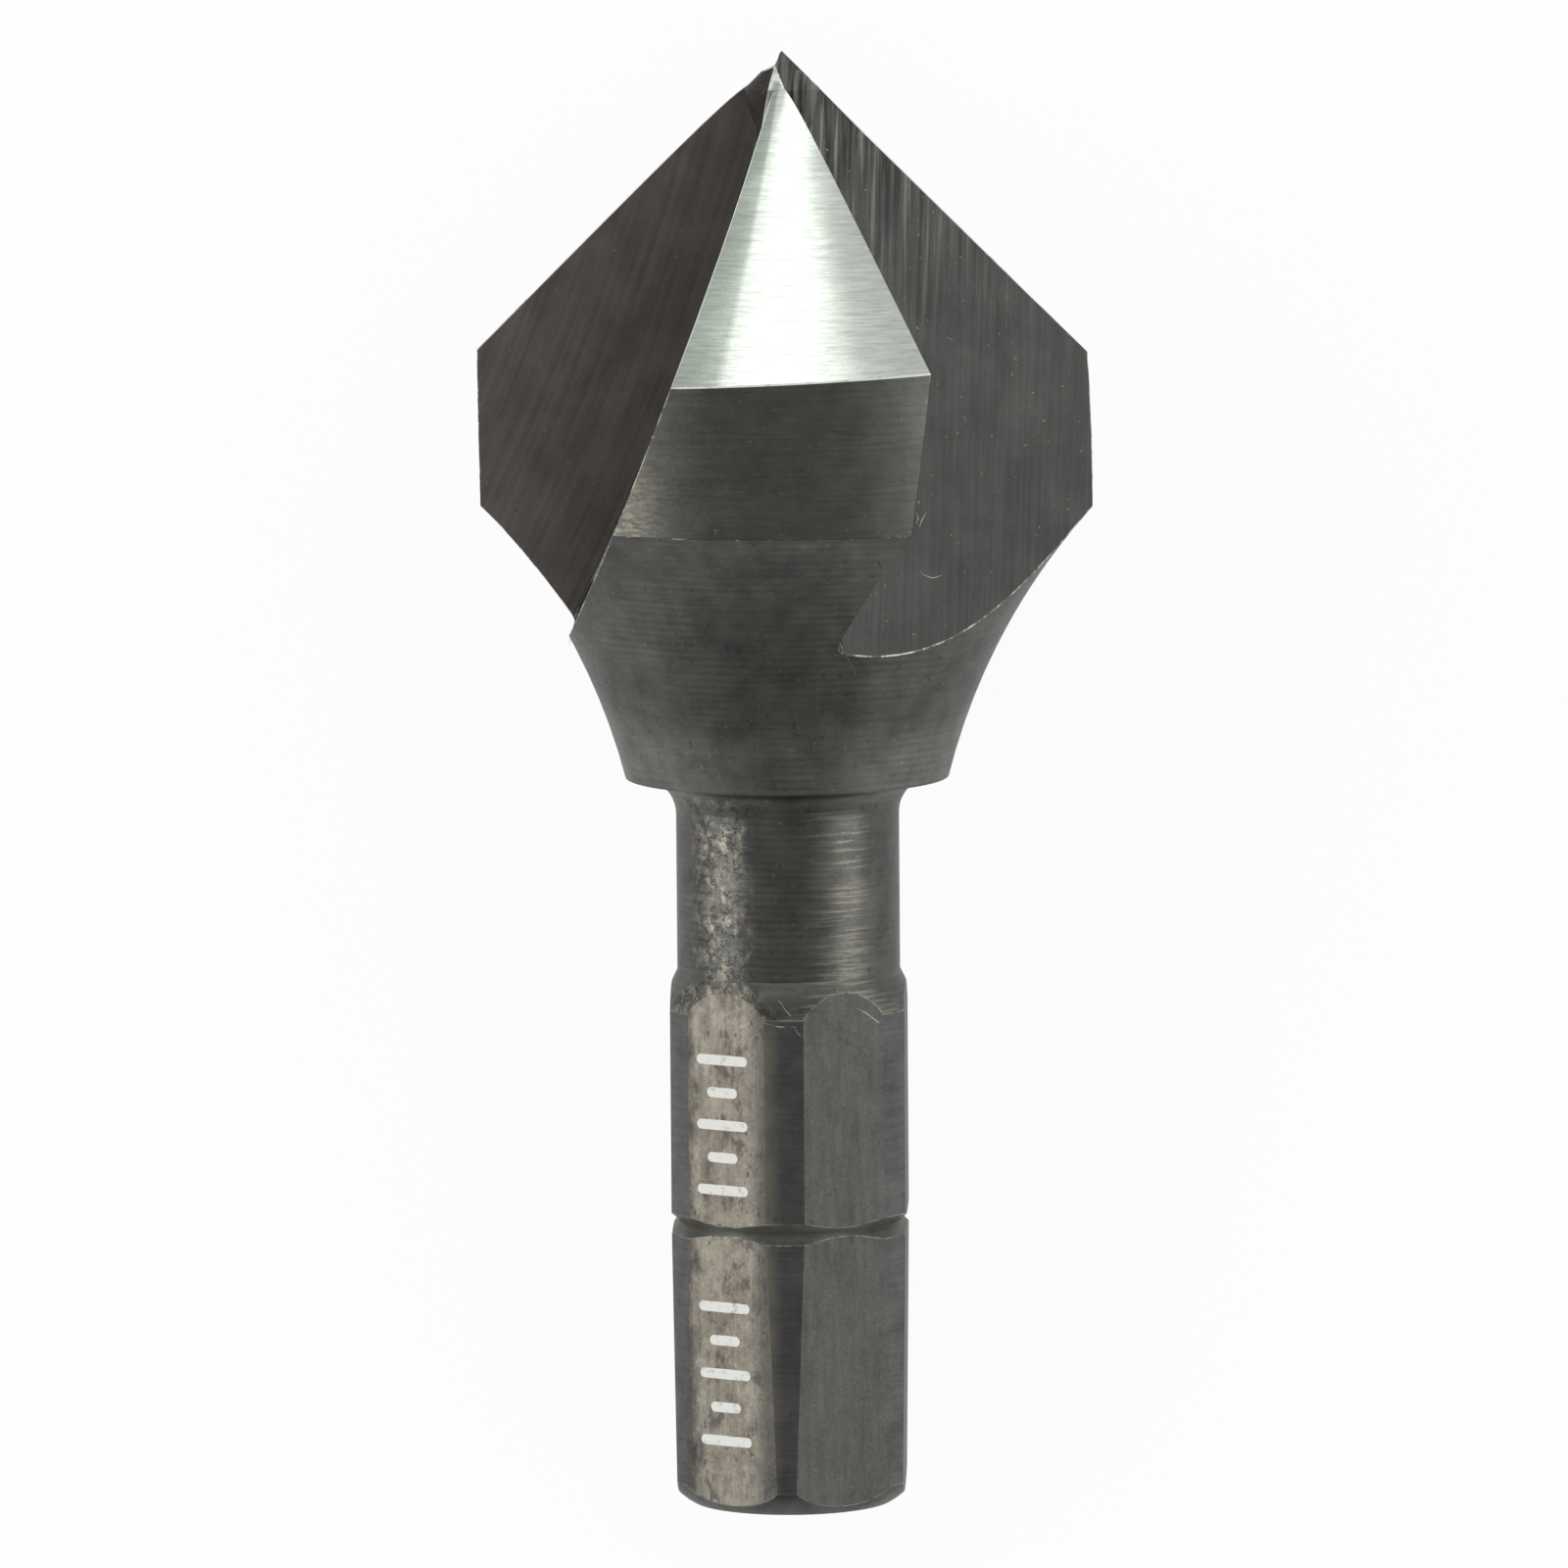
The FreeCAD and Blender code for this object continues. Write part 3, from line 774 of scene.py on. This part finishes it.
# In the order in which the mesh holds them
def steelFinishes():
    finishes = {"groundSteel": groundSteel()}
    for name in ("bareLandEdgeAndHighlight", "dullEdge", "lowerEdge", "shankEdgeAndHighlight"):
        finishes[name] = wornEdgeAndHighlight(name)
    for name in oxideLooks:
        finishes[name] = oxideSteel(name)
    for kind in fluteLooks:
        for flute in range(wheel["flutes"]):
            finishes[f"{kind}Grind{flute}"] = fluteSteel(kind, flute)
    return finishes


# Edges stay sharp where they bend much, or where two finishes meet at a bend
def markSharp(shape):
    for edge in shape.edges:
        if len(edge.link_faces) == 2:
            first, second = edge.link_faces
            angle = edge.calc_face_angle(0)
            atSeam = first.material_index != second.material_index
            apart = atSeam and angle > radians(edgeWear["seamAngle"])
            edge.smooth = not (angle > radians(edgeWear["sharpAngle"]) or apart)


def dressBit():
    mesh = bitNode.data.copy()
    mesh.name = "countersinkSteel"
    mesh.materials.clear()
    body = bpy.data.objects.new("countersinkSteel", mesh)
    bpy.context.scene.collection.objects.link(body)
    finishes = steelFinishes()
    for material in finishes.values():
        mesh.materials.append(material)
    names = list(finishes)
    shape = bmesh.new()
    shape.from_mesh(mesh)
    bmesh.ops.remove_doubles(shape, verts=shape.verts, dist=edgeWear["weld"] * mm)
    splitWeb(shape)
    for face in shape.faces:
        region = regionOf(toBit(face.calc_center_median()), turnToBit @ face.normal)
        face.material_index = names.index(region)
        face.smooth = True
    wearAndHighlightEdges(shape, names)
    markSharp(shape)
    print("faces", len(shape.faces))
    shape.to_mesh(mesh)
    shape.free()
    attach(body, "root")
    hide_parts("countersink_bit")
    return body


# Plain white ticks on one flat, above and below the groove: the heights, then a tick's sizes
tickMarks = {
    "flat": 5,
    "upper": (8.82, 9.7, 10.58, 11.46, 12.34),
    "lower": (2.0, 2.91, 3.82, 4.73, 5.64),
    "long": 1.6,
    "short": 0.95,
    "stroke": 0.28,
    "aside": -0.13,
    "proud": 0.012,
    "taper": 0.86,
    "segments": 20,
    "middle": 0.001,
}
paintLook = {
    "white": (0.83, 0.83, 0.79),
    "rubbed": (0.5, 0.49, 0.44),
    "rubbedNoise": (5.0, 4.0, 0.65),
    "rubbedFade": (0.56, 0.7),
    "grainNoise": (15.0, 2.0),
    "rough": (0.3, 0.7, 0.5, 0.65),
    "depth": 0.002,
}


def whitePaint():
    look = paintLook
    material, tree, shader = startSteel("whitePaint")
    point = bitCoordinates(tree)
    rubbed = fade(tree, noise(tree, point, *look["rubbedNoise"]), *look["rubbedFade"])
    colour = blend(tree, rubbed, look["white"], look["rubbed"])
    grain = noise(tree, point, *look["grainNoise"])
    finishSteel(tree, shader, colour, fade(tree, grain, *look["rough"]), grain, look["depth"], 0.0)
    return material


# One tick: a thin disc pulled long, set on its flat
def addTick(shape, height, length, taper):
    marks = tickMarks
    outward = Vector((cos(markedHeading()), sin(markedHeading()), 0))
    sideways = Vector((0, 0, 1)).cross(outward)
    reach = steps["flatReach"] - (steps["grooveAt"] - height) * taper
    middle = outward * (reach - marks["proud"]) + sideways * marks["aside"] + Vector((0, 0, height))
    upward = (Vector((0, 0, 1)) + outward * taper).normalized()
    turn = Matrix((sideways, upward, sideways.cross(upward))).transposed().to_4x4()
    disc = bmesh.ops.create_circle(shape, cap_ends=True, segments=marks["segments"],
                                   radius=marks["stroke"] / 2)
    outline = disc["verts"]
    half = length / 2 - marks["stroke"] / 2
    for vert in outline:
        vert.co.x += half if vert.co.x > marks["middle"] else -half if vert.co.x < -marks["middle"] else 0
    top = bmesh.ops.extrude_face_region(shape, geom=[outline[0].link_faces[0]])["geom"]
    raised = [item for item in top if isinstance(item, bmesh.types.BMVert)]
    bmesh.ops.translate(shape, verts=raised, vec=(0, 0, 2 * marks["proud"]))
    bmesh.ops.transform(shape, matrix=Matrix.Translation(middle) @ turn, verts=outline + raised)


def makeTicks():
    mesh = bpy.data.meshes.new("tickMarks")
    shape = bmesh.new()
    for group, taper in (("upper", 0.0), ("lower", tan(radians(tickMarks["taper"])))):
        for number, height in enumerate(tickMarks[group]):
            addTick(shape, height, tickMarks["short"] if number % 2 else tickMarks["long"], taper)
    place = Matrix.Diagonal((mm, mm, mm, 1.0)) @ Matrix.Translation(endCentre) @ turnToRow.to_4x4()
    bmesh.ops.transform(shape, matrix=place, verts=shape.verts)
    bmesh.ops.recalc_face_normals(shape, faces=shape.faces)
    shape.to_mesh(mesh)
    shape.free()
    mesh.materials.append(whitePaint())
    ticks = bpy.data.objects.new("tickMarks", mesh)
    bpy.context.scene.collection.objects.link(ticks)
    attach(ticks, "root")
    print("ticks", len(mesh.polygons))


# Floor and light: the room's brightness by direction, then the panels
studio = {
    "floorSize": 3.0,
    "floorTone": (0.9, 0.9, 0.9),
    "floorSeen": 0.94,
    "floorMirrored": 0.55,
    "zenith": 0.23,
    "sides": 0.55,
    "sideFade": (0.5, 0.9),
    "ahead": 0.78,
    "aheadFade": (0.3, 0.75),
    "diffuse": 0.75,
    "panelAim": 0.008,
    "leftPanel": {"heading": (-1, 0.08), "raise": 24, "away": 0.5, "size": (0.5, 0.3), "power": 0.55},
    "rightPanel": {"heading": (1, 0.08), "raise": 19, "away": 0.5, "size": (0.5, 0.26), "power": 0.4},
    "pointPanel": {"heading": (-0.05, 1), "raise": 15, "away": 0.55, "size": (0.26, 0.14), "power": 0.215},
}


# Whether a ray comes from the camera, and whether it was mirrored or passed through
def seenRays(tree):
    rays = addNode(tree, "LightPath").outputs
    mirrored = calculate(tree, "MAXIMUM", rays["Is Glossy Ray"], rays["Is Transmission Ray"])
    return rays["Is Camera Ray"], mirrored


# The floor is near white to the camera and greyer in the steel, and it takes the bit's shadow
def makeFloor():
    mesh = bpy.data.meshes.new("floor")
    shape = bmesh.new()
    bmesh.ops.create_grid(shape, x_segments=1, y_segments=1, size=studio["floorSize"])
    shape.to_mesh(mesh)
    shape.free()
    floor = bpy.data.objects.new("floor", mesh)
    bpy.context.scene.collection.objects.link(floor)
    material = bpy.data.materials.new("paleFloor")
    material.use_nodes = True
    tree = material.node_tree
    tree.nodes.clear()
    camera, mirrored = seenRays(tree)
    share = calculate(tree, "MAXIMUM", times(tree, camera, studio["floorSeen"]), mirrored)
    strength = calculate(tree, "MAXIMUM", camera, times(tree, mirrored, studio["floorMirrored"]))
    diffuse = addNode(tree, "BsdfDiffuse", ("Color", (*studio["floorTone"], 1.0)))
    glow = addNode(tree, "Emission", ("Color", (1.0, 1.0, 1.0, 1.0)), ("Strength", strength))
    mix = addNode(tree, "MixShader", (0, share), (1, diffuse.outputs[0]), (2, glow.outputs[0]))
    addNode(tree, "OutputMaterial", ("Surface", mix.outputs[0]))
    mesh.materials.append(material)
    print("floor", studio["floorSize"])


def areaLight(name):
    panel = studio[name]
    data = bpy.data.lights.new(name, "AREA")
    data.shape = "RECTANGLE"
    data.size, data.size_y = panel["size"]
    data.energy = panel["power"]
    lamp = bpy.data.objects.new(name, data)
    bpy.context.scene.collection.objects.link(lamp)
    level = Vector((*panel["heading"], 0)).normalized() * cos(radians(panel["raise"]))
    direction = level + Vector((0, 0, sin(radians(panel["raise"]))))
    lamp.location = direction * panel["away"] + Vector((0, 0, studio["panelAim"]))
    lamp.rotation_euler = direction.to_track_quat("Z", "Y").to_euler()
    lamp.visible_camera = False


# A white room for the camera; the steel sees a dark ceiling, and pale walls at its sides and past its point
def makeStudio():
    world = bpy.data.worlds.new("studio")
    bpy.context.scene.world = world
    world.use_nodes = True
    tree = world.node_tree
    background = tree.nodes["Background"]
    camera, mirrored = seenRays(tree)
    right, ahead, up = parts(tree, addNode(tree, "TexCoord").outputs["Generated"])
    aside = calculate(tree, "ABSOLUTE", right)
    sides = fade(tree, aside, *studio["sideFade"], studio["zenith"], studio["sides"])
    past = fade(tree, ahead, *studio["aheadFade"], studio["zenith"], studio["ahead"])
    walls = calculate(tree, "MAXIMUM", sides, past)
    level = calculate(tree, "ADD", times(tree, mirrored, walls),
                      times(tree, calculate(tree, "SUBTRACT", 1.0, mirrored), studio["diffuse"]))
    level = calculate(tree, "MAXIMUM", level, camera)
    colour = addNode(tree, "CombineXYZ", (0, level), (1, level), (2, level)).outputs[0]
    tree.links.new(colour, background.inputs["Color"])
    panels = ("leftPanel", "rightPanel", "pointPanel")
    for name in panels:
        areaLight(name)
    print("panels", len(panels))


# The camera looks down, a little from the bit's right side and its shank end, as the photograph does
cameraPlace = {
    "towards": (0.0858, -0.0128, 0.9962),
    "distance": 436.0,
    "aimHeight": 19.46,
    "aimShift": -0.089,
    "lens": 372.3,
    "sensor": 36.0,
    "roll": -0.25,
    "nearest": 0.01,
    "farthest": 10.0,
}


def makeCamera():
    data = bpy.data.cameras.new("camera")
    camera = bpy.data.objects.new("camera", data)
    bpy.context.scene.collection.objects.link(camera)
    back = Vector(cameraPlace["towards"]).normalized()
    up = (Vector((0, 1, 0)) - back.y * back).normalized()
    right = up.cross(back)
    roll = radians(cameraPlace["roll"])
    up, right = up * cos(roll) + right * sin(roll), right * cos(roll) - up * sin(roll)
    aim = toRow((0, 0, cameraPlace["aimHeight"])) + right * cameraPlace["aimShift"] * mm
    place = Matrix((right, up, back)).transposed().to_4x4()
    place.translation = aim + back * cameraPlace["distance"] * mm
    camera.matrix_world = place
    data.sensor_width = cameraPlace["sensor"]
    data.lens = cameraPlace["lens"]
    data.clip_start = cameraPlace["nearest"]
    data.clip_end = cameraPlace["farthest"]
    bpy.context.scene.camera = camera
    print("camera lens", data.lens)
    return camera


# Small scratches and burrs, placed in the camera's 1600 pixel frame and laid on the steel that they cross
scratches = {
    "width": 0.011,
    "endShare": 0.4,
    "frame": 1600,
    "runs": (
        ((938, 582), (943, 587), (952, 590), (961, 587)),
        ((934, 522), (937, 528), (935, 535)),
        ((945, 523), (941, 530), (938, 538)),
        ((966, 344), (972, 347)),
        ((983, 424), (986, 430)),
        ((795, 1021), (801, 1030), (807, 1037)),
        ((811, 1050), (817, 1058)),
        ((872, 1028), (884, 1034), (896, 1043), (904, 1048)),
        ((779, 1044), (795, 1048), (813, 1048)),
        ((895, 1042), (913, 1041)),
        ((751, 840), (752, 842)),
        ((795, 840), (797, 841)),
    ),
}


# Where the camera's rays through a run's points meet the steel
def laidOnSteel(run, finder, camera):
    perPixel = camera.data.sensor_width / camera.data.lens / scratches["frame"]
    half = scratches["frame"] / 2
    hits = []
    for across, down in run:
        ray = Vector(((across - half) * perPixel, (half - down) * perPixel, -1)).normalized()
        place = finder.ray_cast(camera.matrix_world.translation, camera.matrix_world.to_3x3() @ ray)[0]
        if place is not None:
            hits.append(place)
    return hits


def makeScratches(body, camera):
    shape = bmesh.new()
    shape.from_mesh(body.data)
    finder = BVHTree.FromBMesh(shape)
    shape.free()
    curve = bpy.data.curves.new("fineScratches", "CURVE")
    curve.dimensions = "3D"
    curve.bevel_depth = scratches["width"] * mm
    curve.bevel_resolution = 1
    curve.use_fill_caps = True
    for run in scratches["runs"]:
        hits = laidOnSteel(run, finder, camera)
        if len(hits) < 2:
            continue
        line = curve.splines.new("POLY")
        line.points.add(len(hits) - 1)
        for number, place in enumerate(hits):
            line.points[number].co = (*place, 1.0)
            atEnd = number in (0, len(hits) - 1)
            line.points[number].radius = scratches["endShare"] if atEnd else 1.0
    marks = bpy.data.objects.new("fineScratches", curve)
    bpy.context.scene.collection.objects.link(marks)
    curve.materials.append(wornEdgeAndHighlight("scratchedSteel"))
    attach(marks, "root")
    print("scratches", len(curve.splines))


bit = dressBit()
makeTicks()
makeFloor()
makeStudio()
makeScratches(bit, makeCamera())
bpy.context.scene.view_settings.view_transform = "Standard"
